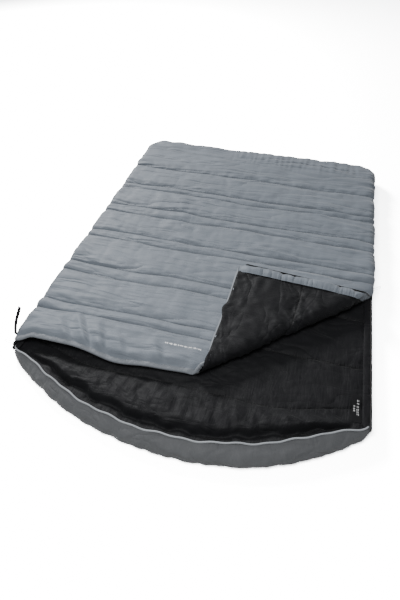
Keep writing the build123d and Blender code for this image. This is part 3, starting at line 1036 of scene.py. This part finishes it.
# ---------------- care label
# A black satin label, sewn flat to the lining by its right side seam; its woven lines are plain bars.
low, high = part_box("care_label")
label_columns, label_lines = 10, 30
label, i, j = cut_grid("care_label_cloth", label_columns, label_lines)
x = low.x + (high.x - low.x) * i / label_columns
y = low.y + (high.y - low.y) * j / label_lines
drawn = evaluated(bottom_lining).to_mesh()
drawn_faces = [tuple(f.vertices) for f in drawn.polygons]
under_label = BVHTree.FromPolygons([v.co.copy() for v in drawn.vertices], drawn_faces)


def lining_height(x, y):
    """The highest point of the lining close round a place."""
    near = (-0.006, 0, 0.006)
    down = Vector((0, 0, -1))
    hits = [under_label.ray_cast(Vector((x + a, y + b, 0.2)), down)[0] for a in near for b in near]
    return max(hit.z for hit in hits if hit is not None)


label_top = np.array([lining_height(a, b) for a, b in zip(x, y)]) + 0.0012
set_points(label, np.stack([x, y, label_top], 1))
mark_cloth(label, x, y, no_seam + 0 * x)
satin = cloth_finish("label_cloth", (0.010, 0.010, 0.011), 0.38, 0.05, ((0.02, 0.03, 0.3),), thread=0.0006)
dress(label, satin)
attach(label, "bottom_quilt")
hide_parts("care_label")

bars = bmesh.new()
for row_x, spans in (
    (0.006, ((0.034, 0.007), (0.044, 0.006), (0.053, 0.007))),
    (0.0095, ((0.034, 0.006), (0.043, 0.008), (0.053, 0.006))),
    (-0.003, ((0.02, 0.006), (0.029, 0.009), (0.041, 0.007), (0.052, 0.01), (0.066, 0.006), (0.076, 0.009))),
    (-0.008, ((0.018, 0.009), (0.031, 0.005), (0.04, 0.01), (0.054, 0.007), (0.065, 0.008), (0.079, 0.005))),
):
    for start, run in spans:
        bar = bmesh.ops.create_cube(bars, size=1)["verts"]
        bar_x, bar_y = (low.x + high.x) / 2 - row_x, low.y + 0.012 + start + run / 2
        bmesh.ops.scale(bars, vec=(0.0016, run, 0.0003), verts=bar)
        bmesh.ops.translate(bars, vec=(bar_x, bar_y, lining_height(bar_x, bar_y) + 0.0017), verts=bar)
label_bars = piece_from("care_label_bars", bars)


def trim_finish(name, colour, rough, sheen, wrinkle, thread):
    """Cloth for a small piece with no flat pattern, with one size of wrinkle."""
    return cloth_finish(name, colour, rough, sheen, (wrinkle,), pattern=False, thread=thread)


label_bars.data.materials.append(
    trim_finish("bar_thread", (0.72, 0.72, 0.72), 0.5, 0.1, (0.001, 0.001, 0.1), 0.0004)
)
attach(label_bars, "bottom_quilt")

# ---------------- zips
# Black polyester tape on edge in the side walls, a nylon coil along each tape, and pressed metal
# stops at both ends of the lower rows.
black_tape = trim_finish("black_tape", (0.014, 0.014, 0.015), 0.6, 0.1, (0.004, 0.004, 0.1), 0.0012)
coil_pitch = 0.0024


def coil_finish(name, angle):
    """Black nylon with the coil's turns along the zip's direction, painted lighter on their crests and darker
    between them as painted highlight and shade.
    """
    material, tree, shader = new_finish(name)
    shader.inputs["Specular IOR Level"].default_value = 0.5
    place = tree.nodes.new("ShaderNodeTexCoord").outputs["Object"]
    turned = tree.nodes.new("ShaderNodeMapping")
    turned.inputs["Rotation"].default_value = (0, 0, -angle)
    tree.links.new(place, turned.inputs["Vector"])
    split = axes(tree, turned.outputs["Vector"])
    turns = calc(tree, "SINE", calc(tree, "MULTIPLY", split["X"], 2 * math.pi / coil_pitch))
    # Painted highlight and shade: the colour follows the same wave as the turns' bump, lighter on each crest
    # and darker in each hollow.
    tone = calc(tree, "MULTIPLY_ADD", turns, 0.45, 1.0)
    rough = calc(tree, "MULTIPLY_ADD", turns, -0.10, 0.36)
    join_finish(tree, shader, (0.020, 0.020, 0.022), tone, rough, turns, 0.0006)
    return material


straight_coil = coil_finish("straight_coil", math.pi / 2)
turned_coil = coil_finish("turned_coil", 2 * fold_turn - math.pi / 2)


def metal_finish(name, colour, rough, wear, metallic=1.0):
    """Metal or enamel on metal, with small scratches and rubbed spots."""
    material, tree, shader = new_finish(name)
    shader.inputs["Metallic"].default_value = metallic
    place = tree.nodes.new("ShaderNodeTexCoord").outputs["Object"]
    rubbed = use_group(tree, dye, Place=place, Size=0.003, Amount=wear)["Factor"]
    scratch = use_group(tree, creases, Place=place, Along=0.006, Across=0.0005, Depth=0.03)["Height"]
    rough = calc(tree, "MULTIPLY_ADD", rubbed, 0.15, rough - 0.15)
    join_finish(tree, shader, colour, rubbed, rough, scratch)
    return material


stop_metal = metal_finish("stop_metal", (0.45, 0.45, 0.44), 0.4, 0.3)


def refinish(node, material):
    """Gives a carried-over part its material."""
    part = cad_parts[node]
    for held in part.material_slots:
        held.material = material


for side in ("left", "right"):
    refinish(f"bottom_zip_tape_{side}", black_tape)
    refinish(f"bottom_zip_coil_{side}", straight_coil)
    refinish(f"bottom_zip_stops_{side}", stop_metal)
    refinish(f"top_zip_tape_{side}", black_tape)
    refinish(f"top_zip_coil_{side}", straight_coil)
for part in ("fold", "corner"):
    refinish(f"{part}_zip_tape_right", black_tape)
    refinish(f"{part}_zip_coil_right", turned_coil)

# ---------------- sliders and pull wires
# Die-cast zip sliders in dark enamel, each with a bent wire loop that swings in its crown.
slider_enamel = metal_finish("slider_enamel", (0.05, 0.05, 0.052), 0.42, 0.5, 0.6)
pull_wire_metal = metal_finish("pull_wire_metal", (0.26, 0.26, 0.25), 0.35, 0.25)
for side in ("left", "right"):
    refinish(f"slider_body_{side}", slider_enamel)
    refinish(f"pull_wire_{side}", pull_wire_metal)

# ---------------- fastening tab
# Black webbing sewn to the top quilt's left edge, with the hook half of a touch fastener on its
# tip. It closes over the zip on to the loop half, sewn to the bottom quilt's wall.
for node, slot, colour, rough, sheen, wrinkle, thread in (
    ("tab_strap", "tab_webbing", (0.013, 0.013, 0.014), 0.7, 0.1, (0.003, 0.003, 0.25), 0.0018),
    ("tab_hook", "hook_pile", (0.011, 0.011, 0.012), 0.5, 0.0, (0.0012, 0.0012, 0.9), 0.0012),
    ("tab_patch", "loop_pile", (0.015, 0.015, 0.016), 0.85, 0.35, (0.0014, 0.0009, 0.8), 0.0010),
):
    refinish(node, trim_finish(slot, colour, rough, sheen, wrinkle, thread))
